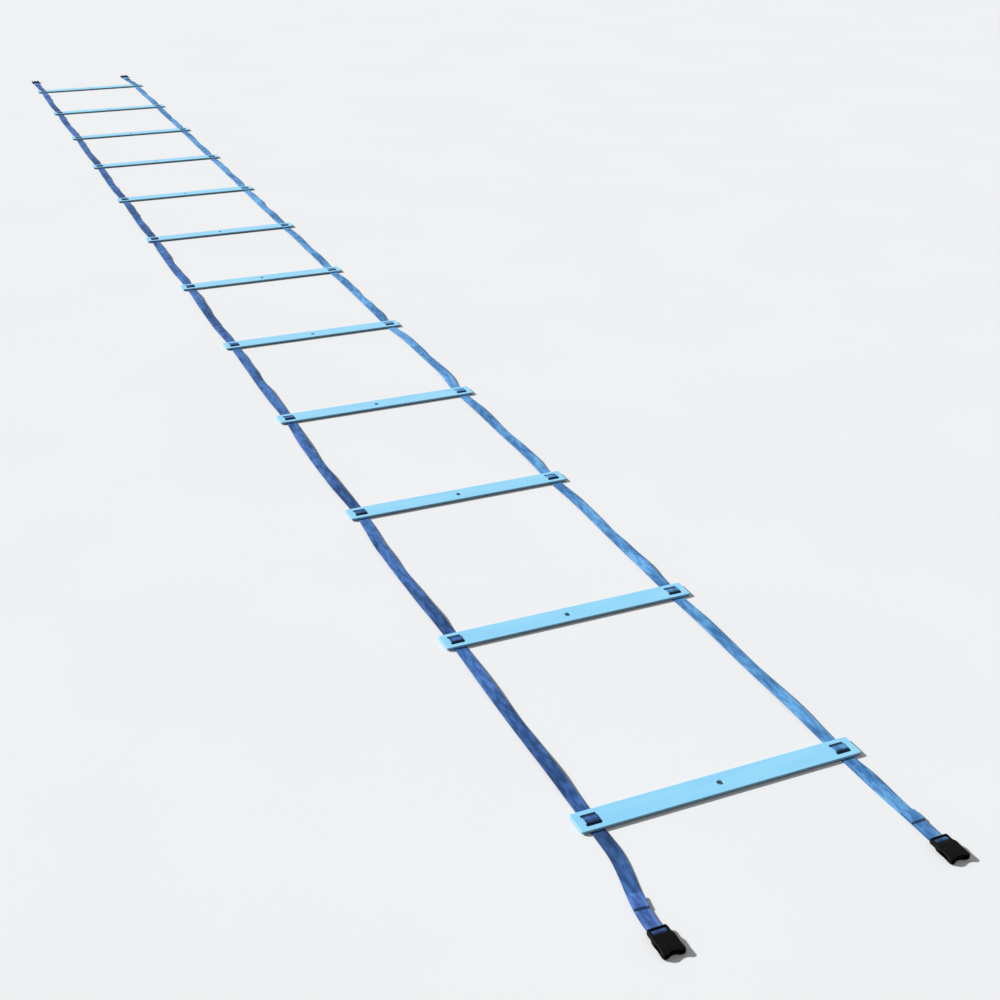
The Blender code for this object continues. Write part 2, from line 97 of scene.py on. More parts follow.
def direction(heading: float, height: float) -> Vector:
    """A direction in space.

    Args:
        heading: Its angle from +Y towards +X, in degrees.
        height: Its angle above the floor, in degrees.

    Returns:
        The direction.
    """
    heading, height = math.radians(heading), math.radians(height)
    level = math.cos(height)
    return Vector((math.sin(heading) * level, math.cos(heading) * level, math.sin(height)))


class Option(Enum):
    """A named option that is also a word in the names of pieces."""

    @property
    def word(self) -> str:
        """The option as that word."""
        return self.name.lower()


class Side(Option):
    """The two straps, as seen from the near end, with the sign of their X."""

    LEFT = -1
    RIGHT = 1


class End(Option):
    """The two ends of the ladder, with the sign of their Y."""

    NEAR = -1
    FAR = 1


class Slot(Enum):
    """The record's material slots, which the new pieces don't take; they get finishes of their own."""

    RUNG = "rung_blue"
    WEBBING = "webbing_blue"


# Finishes


class Wire:
    """A number on its way between a finish's nodes, on which arithmetic adds Math nodes."""

    def __init__(self, nodes: "NodeTree", socket: NodeSocket) -> None:
        """Wraps the output that carries the number, with the tree that new Math nodes go to."""
        self.nodes = nodes
        self.socket = socket

    def then(self, operation: str, *operands: Number) -> "Wire":
        """The result of one new Math node, whose operands are wires or plain numbers."""
        node = self.nodes.add("ShaderNodeMath", {"operation": operation}, dict(enumerate(operands)))
        return Wire(self.nodes, node.outputs[0])

    def __add__(self, other: Number) -> "Wire":
        """The sum."""
        return self.then("ADD", self, other)

    def __sub__(self, other: Number) -> "Wire":
        """The difference."""
        return self.then("SUBTRACT", self, other)

    def __mul__(self, other: Number) -> "Wire":
        """The product."""
        return self.then("MULTIPLY", self, other)

    def __truediv__(self, other: Number) -> "Wire":
        """The quotient."""
        return self.then("DIVIDE", self, other)

    def __mod__(self, other: Number) -> "Wire":
        """What is left over, never below zero."""
        return self.then("FLOORED_MODULO", self, other)

    def __pow__(self, other: Number) -> "Wire":
        """The power."""
        return self.then("POWER", self, other)

    def __rsub__(self, other: float) -> "Wire":
        """A plain number less this one."""
        return self.then("SUBTRACT", other, self)

    def __abs__(self) -> "Wire":
        """The size without the sign."""
        return self.then("ABSOLUTE", self)

    __radd__ = __add__
    __rmul__ = __mul__

    def floor(self) -> "Wire":
        """The whole number below."""
        return self.then("FLOOR", self)

    def above(self, low: float, high: float) -> "Wire":
        """A mask that rises smoothly from 0 at low to 1 at high.

        Args:
            low: Where the mask is still 0.
            high: Where it reaches 1.

        Returns:
            The mask.
        """
        settings = {"interpolation_type": "SMOOTHSTEP"}
        node = self.nodes.add("ShaderNodeMapRange", settings, {0: self, 1: low, 2: high})
        return Wire(self.nodes, node.outputs[0])


Linkable = Union[Wire, NodeSocket, float, Sequence[float]]


class NodeTree:
    """The nodes of a finish or of the sky."""

    def __init__(self, tree: ShaderNodeTree) -> None:
        """Takes over the tree that new nodes go to."""
        self.tree = tree

    def add(self, kind: str, settings: Mapping | None = None, inputs: Mapping | None = None) -> Node:
        """Adds a node.

        Args:
            kind: The node's type.
            settings: Its own properties, which are set first.
            inputs: Values or links by the socket's index or name.

        Returns:
            The node.
        """
        node = self.tree.nodes.new(kind)
        for key, value in (settings or {}).items():
            setattr(node, key, value)
        for key, value in (inputs or {}).items():
            self.feed(node.inputs[key], value)
        return node

    def feed(self, socket: NodeSocket, value: Linkable) -> None:
        """Links a wire or an output to a socket, or sets its value.

        Args:
            socket: The input.
            value: What it takes. A colour of three numbers gets an alpha of 1.
        """
        if isinstance(value, Wire):
            value = value.socket
        if isinstance(value, NodeSocket):
            self.tree.links.new(value, socket)
        elif socket.type == "RGBA":
            socket.default_value = (*value, 1.0)
        else:
            socket.default_value = value

    def seen(self) -> Wire:
        """A mask of what the camera sees.

        Returns:
            1 where it looks straight, in gloss or through something clear, and 0 elsewhere.
        """
        path = self.add("ShaderNodeLightPath").outputs
        kinds = ("Camera", "Glossy", "Transmission")
        straight, gloss, through = (Wire(self, path[f"Is {kind} Ray"]) for kind in kinds)
        return straight.then("MAXIMUM", straight.then("MAXIMUM", straight, gloss), through)


# Where the Mix node has its two colours and their mixture, since their names repeat those of its numbers
MIX_LOW, MIX_HIGH, MIX_RESULT = 6, 7, 2


class FinishNodes(NodeTree):
    """The nodes of one finish, around its Principled shader."""

    def __init__(self, name: str) -> None:
        """Makes an empty material.

        Args:
            name: The material's name.
        """
        self.material = bpy.data.materials.new(name)
        self.material.use_nodes = True
        super().__init__(self.material.node_tree)
        self.shader = self.tree.nodes["Principled BSDF"]

    def finish(self, inputs: Mapping[str, Linkable]) -> Material:
        """Feeds the shader's sockets.

        Args:
            inputs: Values or links by the socket's name.

        Returns:
            The finished material.
        """
        for key, value in inputs.items():
            self.feed(self.shader.inputs[key], value)
        return self.material

    def mapped(self, name: str) -> tuple[Wire, Wire, Wire]:
        """The three numbers that a mesh carries at its points under a name.

        Args:
            name: The attribute's name.

        Returns:
            The wires of its X, Y and Z.
        """
        carried = self.add("ShaderNodeAttribute", {"attribute_name": name})
        parts = self.add("ShaderNodeSeparateXYZ", None, {0: carried.outputs["Vector"]})
        return tuple(Wire(self, output) for output in parts.outputs)

    def cloud(self, scale: float, detail: float = 2.0, stretch: Sequence[float] = (1, 1, 1)) -> Wire:
        """Noise in the piece's own coordinates.

        Args:
            scale: Blotches in a metre.
            detail: How many finer layers it has.
            stretch: How the scale differs along X, Y and Z.

        Returns:
            A wire about 0.5 in the mean.
        """
        place = self.add("ShaderNodeTexCoord").outputs["Object"]
        scaled = self.add("ShaderNodeVectorMath", {"operation": "MULTIPLY"}, {0: place, 1: stretch})
        inputs = {"Vector": scaled.outputs[0], "Scale": scale, "Detail": detail}
        noise = self.add("ShaderNodeTexNoise", None, inputs)
        return Wire(self, noise.outputs[0])

    def blend(self, share: Number, low: Linkable, high: Linkable) -> NodeSocket:
        """The colour between two, where a share of 0 gives the low one and 1 the high one."""
        node = self.add("ShaderNodeMix", {"data_type": "RGBA"}, {0: share, MIX_LOW: low, MIX_HIGH: high})
        return node.outputs[MIX_RESULT]

    def bump(self, height: Wire, depth: float, strength: float = 1.0) -> NodeSocket:
        """The normal of small relief, whose height from 0 to 1 stands for a depth in metres."""
        node = self.add("ShaderNodeBump", None, {"Strength": strength, "Distance": depth, "Height": height})
        return node.outputs[0]


@dataclass(frozen=True)
class SlatPlastic:
    """Moulded light blue plastic with a fine grain, pale scuffs, rubbed edges and painted shade in its slots
    and hole.
    """

    body: Colour = (0.30, 0.70, 0.96)
    deep: Colour = (0.26, 0.66, 0.95)
    scuff: Colour = (0.62, 0.84, 0.97)
    dust: Colour = (0.36, 0.50, 0.52)
    # Painted shade for the walls and lower rims of the slots and the hole.
    dirt: Colour = (0.010, 0.050, 0.080)
    half_width: float = mm(21)
    edge_reach: float = mm(2.2)
    scratch_wear: float = 0.35
    edge_wear: float = 0.4
    dust_share: float = 0.3

    def make(self) -> Material:
        """Builds the material.

        Returns:
            The material.
        """
        nodes = FinishNodes("slat_plastic")
        _, across, painted_shade = nodes.mapped("slat")
        edge = abs(across).above(self.half_width - self.edge_reach, self.half_width)
        flow = nodes.cloud(9, detail=3, stretch=(1, 5, 1))
        grain = nodes.cloud(900)
        streaks = nodes.cloud(60, detail=4, stretch=(1, 9, 1))
        scratches = streaks.above(0.66, 0.72) * nodes.cloud(14).above(0.45, 0.62)
        rubbed = edge * nodes.cloud(160, detail=3).above(0.44, 0.66)
        darkening = nodes.cloud(38, detail=5).above(0.56, 0.76) * edge
        colour = nodes.blend(flow.above(0.3, 0.7), self.deep, self.body)
        colour = nodes.blend(scratches * self.scratch_wear + rubbed * self.edge_wear, colour, self.scuff)
        colour = nodes.blend(darkening * self.dust_share, colour, self.dust)
        # Painted shade on the slots' walls and lower rims, and a little in the hole, streaked.
        colour = nodes.blend(painted_shade * (0.7 + streaks * 0.3), colour, self.dirt)
        relief = grain * 0.5 + flow * 0.3 - scratches * 0.5
        return nodes.finish({
            "Base Color": colour,
            "Roughness": 0.34 + grain * 0.1 + scratches * 0.2 + rubbed * 0.1,
            "Normal": nodes.bump(relief, depth=mm(0.05), strength=0.7),
            "Specular IOR Level": 0.5,
        })


@dataclass(frozen=True)
class WovenWebbing:
    """Blue webbing of stout yarns in slanting floats, with a dark selvedge, faded patches, and painted shade
    in the slots, about the buckle's bar, at the hem and along a tail.
    """

    name: str
    shadow: Colour
    yarn: Colour
    worn: Colour
    # Painted shade for the slots, the buckle's bar, the hem and a tail.
    dirt: Colour = (0.006, 0.010, 0.022)
    yarn_width: float = mm(1.15)
    float_length: float = mm(3.0)
    slant_share: float = 0.55
    squareness: int = 4
    half_width: float = mm(11)
    selvedge_start: float = mm(1.5)
    selvedge_full: float = mm(0.8)
    wear: float = 0.6

    def make(self) -> Material:
        """Builds the material.

        Returns:
            The material.
        """
        nodes = FinishNodes(self.name)
        across, along, painted_shade = nodes.mapped("weave")
        columns = across / self.yarn_width + 0.5
        column = columns.floor()
        odd = column % 2
        within = columns - column
        floats = along / self.float_length + odd * 0.5
        slanted = floats + (within - 0.5) * (1 - odd * 2) * self.slant_share
        inside = slanted - slanted.floor()
        roundness = 1 - (within * 2 - 1) ** 2
        swell = 1 - abs(inside * 2 - 1) ** self.squareness
        height = roundness * swell
        selvedge_limits = (self.half_width - self.selvedge_start, self.half_width - self.selvedge_full)
        selvedge = abs(across).above(*selvedge_limits)
        fuzz = nodes.cloud(1400, detail=3)
        fade = nodes.cloud(7, stretch=(2.5, 1, 1)).above(0.38, 0.60)
        blotches = nodes.cloud(60, detail=4, stretch=(3.0, 0.7, 1)).above(0.36, 0.64)
        tone = height * 0.48 + fuzz * 0.2 + blotches * 0.26 + fade * 0.30 - selvedge * 0.12
        colour = nodes.blend(tone.above(0.2, 1.1), self.shadow, self.yarn)
        worn = (fade * 0.5 + blotches * 0.5) ** 2 * height.above(0.2, 0.9)
        colour = nodes.blend(worn * self.wear, colour, self.worn)
        # Painted shade that the mesh carries: in the slots, about the buckle's bar, at the hem and along a
        # tail.
        colour = nodes.blend(painted_shade * (0.75 + fuzz * 0.25), colour, self.dirt)
        return nodes.finish({
            "Base Color": colour,
            "Roughness": 0.70 + fuzz * 0.16,
            "Normal": nodes.bump(height * 0.85 + fuzz * 0.15, depth=mm(0.30), strength=0.9),
            "Sheen Weight": 0.08,
            "Sheen Roughness": 0.45,
            "Sheen Tint": self.worn,
            "Specular IOR Level": 0.18,
        })


@dataclass(frozen=True)
class SewingThread:
    """Bonded thread, a shade paler than the webbing, with its twist in low relief."""

    light: Colour = (0.16, 0.34, 0.66)
    dark: Colour = (0.05, 0.13, 0.32)

    def make(self) -> Material:
        """Builds the material.

        Returns:
            The material.
        """
        nodes = FinishNodes("sewing_thread")
        twist = nodes.cloud(1500, detail=1)
        colour = nodes.blend(twist.above(0.35, 0.65), self.dark, self.light)
        return nodes.finish({
            "Base Color": colour,
            "Roughness": 0.5 + twist * 0.1,
            "Normal": nodes.bump(twist, depth=mm(0.06)),
        })


@dataclass(frozen=True)
class BucklePlastic:
    """Black acetal with a spark-eroded grain and a little dust."""

    body: Colour = (0.0015, 0.0015, 0.002)
    dusty: Colour = (0.007, 0.007, 0.009)
    dust_share: float = 0.6

    def make(self) -> Material:
        """Builds the material.

        Returns:
            The material.
        """
        nodes = FinishNodes("buckle_plastic")
        grain = nodes.cloud(2200)
        smears = nodes.cloud(120, detail=4)
        colour = nodes.blend(smears.above(0.5, 0.8) * self.dust_share, self.body, self.dusty)
        return nodes.finish({
            "Base Color": colour,
            "Roughness": 0.42 + smears * 0.14 + grain * 0.06,
            "Normal": nodes.bump(grain, depth=mm(0.03), strength=0.6),
            "Specular IOR Level": 0.06,
        })


# Sizes


@dataclass(frozen=True)
class SlatSizes:
    """A slat, its slots and its centre hole."""

    length: float = mm(465)
    width: float = mm(42)
    thickness: float = mm(4)
    corner: float = mm(3)
    edge: float = mm(0.9)
    hole: float = mm(10)
    bridge: float = mm(14)
    slot_width: float = mm(5)
    slot_length: float = mm(24)
    slot_corner: float = mm(1.2)


@dataclass(frozen=True)
class WebbingSizes:
    """The webbing, and the gap that it keeps to what it touches."""

    width: float = mm(22)
    thickness: float = mm(1.5)
    seat_gap: float = mm(0.3)
    selvedge: float = mm(1.3)
    selvedge_rise: float = mm(0.06)
    edge_points: int = 4
    face_points: int = 6

    @property
    def half(self) -> float:
        """Half the thickness."""
        return self.thickness / 2

    @property
    def bend(self) -> float:
        """Radius of the webbing's middle where it turns about an edge."""
        return self.seat_gap + self.half

    def section(self) -> list[Point]:
        """The cross-section, with round edges and a slightly proud selvedge.

        Returns:
            Points anticlockwise, each its place across the webbing and its height from the middle.
        """
        radius = self.half
        reach = self.width / 2 - radius
        right = []
        for step in range(self.edge_points + 1):
            angle = math.pi * step / self.edge_points - math.pi / 2
            right.append((reach + radius * math.cos(angle), (radius + self.selvedge_rise) * math.sin(angle)))
        flat = reach - self.selvedge
        top = [(flat - 2 * flat * step / self.face_points, radius) for step in range(self.face_points)]
        upper = right + top
        return upper + [(-across, -height) for across, height in upper]


@dataclass(frozen=True)
class TailSizes:
    """A strap's tail, from the middle of the end slat to the buckle's bar and back through the sewn tab."""

    length: float = mm(228)
    tab: float = mm(71)
    hem: float = mm(22)
    hem_step: float = mm(2)
    hem_bulb: float = mm(0.95)
    eye: float = mm(15)
    layer_gap: float = mm(0.08)
    swing_start_share: float = 0.26
    swing_end_share: float = 0.90
    bar_radius: float = mm(2)
    split: float = mm(148)

    @property
    def hem_start(self) -> float:
        """How far from the end slat's middle the hem starts."""
        return self.length - self.tab

    @property
    def hem_end(self) -> float:
        """How far from there the hem ends."""
        return self.hem_start + self.hem

    @property
    def eye_start(self) -> float:
        """How far from there the webbing parts to go round the buckle's bar."""
        return self.length - self.eye

    def swung(self, distance: float) -> float:
        """The share of its swing that a tail has made at a distance from the end slat's middle."""
        return rise(distance, self.swing_start_share * self.length, self.swing_end_share * self.length)


@dataclass(frozen=True)
class StitchSizes:
    """The rows of thread that close a sewn tab."""

    length: float = mm(2.5)
    gap: float = mm(0.7)
    radius: float = mm(0.26)
    inset: float = mm(3.2)
    rise: float = mm(0.18)
    end_share: float = 0.55
    sunk_share: float = 0.6
    sides: int = 6
    rings: int = 5


# Meshes


PLATE_WELD = mm(0.003)


def new_object(name: str, data: ID, material: Material | None = None) -> Object:
    """Puts a mesh, lamp or camera into the scene and logs its name.

    Args:
        name: The object's name.
        data: What it shows.
        material: Its finish, if it is a mesh.

    Returns:
        The object.
    """
    obj = bpy.data.objects.new(name, data)
    bpy.context.scene.collection.objects.link(obj)
    if material:
        data.materials.append(material)
    log.info("built %s", name)
    return obj


def written(bm: BMesh, name: str) -> Mesh:
    """Writes an editing mesh to a new mesh and frees it.

    Args:
        bm: The editing mesh.
        name: The new mesh's name.

    Returns:
        The new mesh.
    """
    mesh = bpy.data.meshes.new(name)
    bm.to_mesh(mesh)
    bm.free()
    return mesh


def add_tube(bm: BMesh, rings: Sequence[Sequence[BMVert]]) -> None:
    """Joins rings of points to a tube with closed ends.

    Args:
        bm: The editing mesh that holds the points.
        rings: The rings in order.
    """
    for ring, following in zip(rings, rings[1:]):
        for number in range(len(ring)):
            after = (number + 1) % len(ring)
            bm.faces.new((ring[number], ring[after], following[after], following[number]))
    bm.faces.new(rings[0])
    bm.faces.new(rings[-1])


def smoothed(mesh: Mesh, sharp: float = SHARP_ANGLE) -> None:
    """Shades a mesh smooth, with its edges sharp from an angle in degrees."""
    mesh.shade_smooth()
    mesh.set_sharp_from_angle(angle=math.radians(sharp))


def weighted(obj: Object) -> None:
    """Lets the large faces of an object decide, at full weight, how its rounded edges shade.

    Args:
        obj: The object.
    """
    modifier = obj.modifiers.new("face_weights", "WEIGHTED_NORMAL")
    modifier.keep_sharp = True
    modifier.weight = 100


def arc(centre: Point, radius: float, start: float, end: float, steps: int) -> list[Point]:
    """Points on an arc about a centre, in even steps from a first to a last angle in degrees."""
    angles = [math.radians(start + (end - start) * step / steps) for step in range(steps + 1)]
    return [(centre[0] + radius * math.cos(angle), centre[1] + radius * math.sin(angle)) for angle in angles]


def rounded_rectangle(centre: Point, width: float, height: float, radius: float, steps: int) -> list[Point]:
    """The outline of a rectangle with round corners.

    Args:
        centre: Its centre.
        width: Its width.
        height: Its height.
        radius: The corners' radius.
        steps: Steps in each corner.

    Returns:
        Points anticlockwise.
    """
    points: list[Point] = []
    for turn, (sx, sy) in enumerate(((1, -1), (1, 1), (-1, 1), (-1, -1))):
        corner = (centre[0] + sx * (width / 2 - radius), centre[1] + sy * (height / 2 - radius))
        points += arc(corner, radius, 90 * turn - 90, 90 * turn, steps)
    return points


def level_run(start: float, end: float, pitch: float, height: float) -> list[Point]:
    """A level path from start to end at a height, in even steps of at most a pitch."""
    count = max(1, math.ceil(abs(end - start) / pitch))
    return [(start + (end - start) * step / count, height) for step in range(count + 1)]


def plate_mesh(name: str, loops: Sequence[Sequence[Point]], depth: float, edge: float, steps: int) -> Mesh:
    """A flat outline with holes as a plate with rounded edges, centred on Z = 0.

    Args:
        name: The mesh's name.
        loops: The outline and the holes.
        depth: The plate's thickness.
        edge: The radius of its edges.
        steps: Steps in each rounded edge.

    Returns:
        The mesh.
    """
    curve = bpy.data.curves.new(name, "CURVE")
    curve.dimensions = "2D"
    curve.fill_mode = "BOTH"
    curve.extrude = depth / 2 - edge
    curve.bevel_depth = edge
    curve.bevel_resolution = steps
    curve.offset = -edge
    for loop in loops:
        spline = curve.splines.new("POLY")
        spline.points.add(len(loop) - 1)
        for point, (x, y) in zip(spline.points, loop):
            point.co = (x, y, 0, 1)
        spline.use_cyclic_u = True
    holder = bpy.data.objects.new(name, curve)
    bpy.context.scene.collection.objects.link(holder)
    graph = bpy.context.evaluated_depsgraph_get()
    mesh = bpy.data.meshes.new_from_object(holder.evaluated_get(graph))
    bpy.data.objects.remove(holder)
    bm = bmesh.new()
    bm.from_mesh(mesh)
    bmesh.ops.remove_doubles(bm, verts=bm.verts, dist=PLATE_WELD)
    bmesh.ops.recalc_face_normals(bm, faces=bm.faces)
    bm.to_mesh(mesh)
    bm.free()
    mesh.materials.clear()
    mesh.name = name
    return mesh


def carried(mesh: Mesh, name: str, values: Iterable[Sequence[float]]) -> None:
    """Gives each point of a mesh three numbers for its finish to read.

    Args:
        mesh: The mesh.
        name: The attribute's name.
        values: Three numbers for each point.
    """
    attribute = mesh.attributes.new(name, "FLOAT_VECTOR", "POINT")
    for item, value in zip(attribute.data, values):
        item.vector = value


# The ladder's pieces


@dataclass
class Ladder:
    """The places that every piece hangs on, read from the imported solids."""

    slats: list[Vector] = field(default_factory=list)
    strap_x: dict[Side, float] = field(default_factory=dict)
    slat_bottom: float = 0.0
    slat_top: float = 0.0

    @classmethod
    def from_frame(cls, nodes: Mapping[str, Object]) -> "Ladder":
        """Reads the slats' middles and the straps' places.

        Args:
            nodes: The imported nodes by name.

        Returns:
            The ladder.
        """
        ladder = cls()
        for name in sorted(node for node in nodes if node.startswith("rung_")):
            low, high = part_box(name)
            ladder.slats.append((low + high) / 2)
        ladder.slat_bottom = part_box("rung_01")[0].z
        ladder.slat_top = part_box("rung_01")[1].z
        for side in Side:
            low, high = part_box(f"{side.word}_strap_06")
            ladder.strap_x[side] = (low.x + high.x) / 2
        return ladder

    @property
    def count(self) -> int:
        """How many slats there are."""
        return len(self.slats)

    @property
    def pitch(self) -> float:
        """The distance between slats."""
        return (self.slats[-1].y - self.slats[0].y) / (self.count - 1)

    def gap_at(self, y: float) -> tuple[int, float]:
        """Which gap between slats a place is in.

        Args:
            y: The place along the ladder.

        Returns:
            The gap's number from 0, or -1 and count - 1 past the ends, and the share of the way along it.
        """
        along = (y - self.slats[0].y) / self.pitch
        gap = min(max(math.floor(along), -1), self.count - 1)
        return gap, along - gap

    def last(self, end: End) -> int:
        """The number of the slat at an end, from 1."""
        return 1 if end is End.NEAR else self.count

    def nearest(self, y: float) -> tuple[int, float]:
        """The number from 0 of the slat nearest to a place, and how far the place lies past its middle."""
        number = min(max(round((y - self.slats[0].y) / self.pitch), 0), self.count - 1)
        return number, y - self.slats[number].y


@dataclass(frozen=True)
class Slat:
    """One flat slat with rounded edges, two slots at each end and a hole in the middle."""

    sizes: SlatSizes = SlatSizes()
    # How much painted shade the hole's walls take, and how deep the top rim stays free of it.
    hole_dirt: float = 0.15
    unshaded_rim: float = mm(0.3)
    corner_steps: int = 6
    slot_steps: int = 4
    hole_steps: int = 32
    edge_steps: int = 3

    def painted_shade(self, point: Vector, slot_x: float) -> float:
        """How much painted shade sits at a point of a slat, standing in for the shade inside its slots and
        hole.

        Args:
            point: The point, from the slat's middle.
            slot_x: How far the slots' middles lie from there.

        Returns:
            1 on the walls and lower rims of the slots, a little on those of the hole, and 0 elsewhere.
        """
        sizes = self.sizes
        if point.z > sizes.thickness / 2 - self.unshaded_rim:
            return 0.0
        if math.hypot(point.x, point.y) < sizes.hole / 2 + sizes.edge:
            return self.hole_dirt
        beside = abs(abs(point.x) - slot_x) < sizes.slot_length / 2 + sizes.edge
        return 1.0 if beside and abs(point.y) < sizes.bridge / 2 + sizes.slot_width + sizes.edge else 0.0

    def build(self, number: int, ladder: Ladder, material: Material) -> None:
        """Builds a slat in its place.

        Args:
            number: Its number from the near end, from 1.
            ladder: The ladder's places.
            material: Its finish.
        """
        sizes = self.sizes
        loops = [rounded_rectangle((0, 0), sizes.length, sizes.width, sizes.corner, self.corner_steps)]
        spacing = ladder.strap_x[Side.RIGHT] - ladder.strap_x[Side.LEFT]
        slot_y = (sizes.bridge + sizes.slot_width) / 2
        for x in (-spacing / 2, spacing / 2):
            for y in (-slot_y, slot_y):
                slot = (sizes.slot_length, sizes.slot_width, sizes.slot_corner)
                loops.append(rounded_rectangle((x, y), *slot, self.slot_steps))
        loops.append(arc((0, 0), sizes.hole / 2, 0, 360, self.hole_steps)[:-1])
        mesh = plate_mesh("slat", loops, sizes.thickness, sizes.edge, self.edge_steps)
        places = [point.co for point in mesh.vertices]
        # Each point carries its place across the slat and its painted shade.
        carried(mesh, "slat", [(co.x, co.y, self.painted_shade(co, spacing / 2)) for co in places])
        smoothed(mesh)
        mesh.transform(Matrix.Translation(ladder.slats[number - 1]))
        obj = new_object(f"slat_{number:02d}", mesh, material)
        weighted(obj)
        body = f"rung_{number:02d}"
        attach(obj, body)
        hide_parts(body)


@dataclass
class Strap:
    """One strap: how it wanders between the slats and lifts off the floor, and its stretches of webbing."""

    side: Side
    ladder: Ladder
    bows: tuple[float, ...]
    swing: dict[End, float]
    tail_tilt: float
    tail_shade: float
    hem_dirt: tuple[float, float]
    webbing: WebbingSizes = WebbingSizes()
    slat: SlatSizes = SlatSizes()
    tail: TailSizes = TailSizes()
    weave_reach: float = mm(14)
    crease_reach: float = mm(18)
    lift_start: float = mm(22)
    lift_limit: float = mm(2.2)
    middle_lift: float = mm(0.6)
    flank_share: float = 0.34
    tail_flank_share: float = 0.36
    tilt_limit: float = 0.14
    sway_limit: float = mm(1.6)
    seed: int = 17
    lift_draw: Range = (0.5, 1.0)
    tilt_draw: Range = (0.2, 1.0)
    wave_draw: Range = (1.5, 4.0)
    ripple_share: float = 0.25
    bow_flank_share: float = 0.32
    # Painted shade in the slots: where it starts and is full on the bridge, and where it fades and ends past
    # the slot.
    slot_shade_start: float = mm(3.2)
    slot_shade_full: float = mm(6.2)
    slot_shade_fade: float = mm(12)
    slot_shade_end: float = mm(17)
    # Painted shade about the buckle's bar, and how far along it reaches.
    bar_dirt: float = 0.85
    bar_dirt_reach: float = mm(8)
    # How far the painted shadows at the hem's fold and step spread.
    hem_dirt_reach: float = mm(1.5)
    bridge_pitch: float = mm(2)
    land_pitch: float = mm(2.5)
    floor_pitch: float = mm(5)
    crease_pitch: float = mm(1)
    slope_probe: float = mm(0.5)
    bend_steps: int = 7

    def __post_init__(self) -> None:
        """Draws how each half gap lifts, tilts and ripples, and how each gap sways."""
        draw = random.Random(self.seed + self.side.value).uniform
        halves = 2 * self.ladder.count
        self.lifts = [self.lift_limit * draw(*self.lift_draw) for _ in range(halves)]
        self.tilts = [self.tilt_limit * draw(*self.tilt_draw) for _ in range(halves)]
        self.ripples = [(draw(*self.wave_draw), draw(0, 2 * math.pi)) for _ in range(halves)]
        self.sways = [draw(-self.sway_limit, self.sway_limit) for _ in range(self.ladder.count + 1)]

    def wander(self, y: float) -> float:
        """How far the strap's middle lies from its straight line, towards +X.

        Args:
            y: The place along the ladder.

        Returns:
            The distance.
        """
        gap, share = self.ladder.gap_at(y)
        if not 0 <= gap < self.ladder.count - 1:
            end = End.NEAR if gap < 0 else End.FAR
            slat = self.ladder.slats[self.ladder.last(end) - 1]
            return self.side.value * self.swing[end] * self.tail.swung(abs(y - slat.y))
        hump = rise(min(share, 1 - share), 0, self.bow_flank_share)
        sway = self.sways[gap] * hump * math.sin(2 * math.pi * share)
        return self.side.value * self.bows[gap] * hump + sway

    def on_tail(self, number: int, past: float) -> bool:
        """Whether a place is on a tail, from the slat nearest to it and how far past that it lies."""
        return (number == 0 and past < 0) or (number == self.ladder.count - 1 and past > 0)

    def lifted(self, y: float) -> tuple[float, float]:
        """How far the strap lifts off the floor, and how far it tilts.

        Args:
            y: The place along the ladder.

        Returns:
            The lift of its middle, and the rise for each metre across.
        """
        number, past = self.ladder.nearest(y)
        tail = self.on_tail(number, past)
        reach = self.tail.split if tail else self.ladder.pitch / 2
        run = (abs(past) - self.lift_start) / (reach - self.lift_start)
        if run < 0 or (tail and run > 1):
            return 0.0, 0.0
        if tail:
            tilt = self.tail_tilt * hill(run, 0, self.tail_flank_share, self.tail_flank_share, 1)
            return abs(tilt) * self.webbing.width / 2, tilt
        half = 2 * number + (past > 0)
        fall = rise(run, 1 - self.flank_share, 1)
        hump = rise(run, 0, self.flank_share) * (1 - fall)
        waves, phase = self.ripples[half]
        hump *= 1 + self.ripple_share * math.sin(waves * math.pi * run + phase)
        tilt = self.tilts[half] * hump
        return self.lifts[half] * hump + self.middle_lift * fall + abs(tilt) * self.webbing.width / 2, tilt

    def painted_shade(self, y: float) -> float:
        """How much painted shade sits on the strap at a place along the ladder.

        Args:
            y: The place.

        Returns:
            1 in the slots, less at the hem, about the buckle's bar and on a darkened tail, and 0 elsewhere.
        """
        number, past = self.ladder.nearest(y)
        distance = abs(past)
        # Painted shade in the slots, where the webbing dives under the slat.
        in_slots = hill(distance, self.slot_shade_start, self.slot_shade_full, self.slot_shade_fade, self.slot_shade_end)
        if not self.on_tail(number, past):
            return in_slots
        eye_start, hem_start, hem_end = self.tail.eye_start, self.tail.hem_start, self.tail.hem_end
        # Painted shade about the buckle's bar, where the webbing turns inside the buckle.
        about_bar = self.bar_dirt * rise(distance, eye_start, eye_start + self.bar_dirt_reach)
        # Painted shadows at the hem's fold and just past its step.
        spread = self.hem_dirt_reach
        below = hem_end + self.tail.hem_step
        fold = hill(distance, hem_start - 2 * spread, hem_start - spread, hem_start, hem_start + spread)
        step = hill(distance, hem_end - spread, hem_end, below, below + spread)
        # Painted shade along the tail, fading out towards the hem.
        darkening = self.tail_shade * (1 - rise(distance, self.slot_shade_end, hem_start))
        return max(in_slots, about_bar, self.hem_dirt[0] * fold, self.hem_dirt[1] * step, darkening)

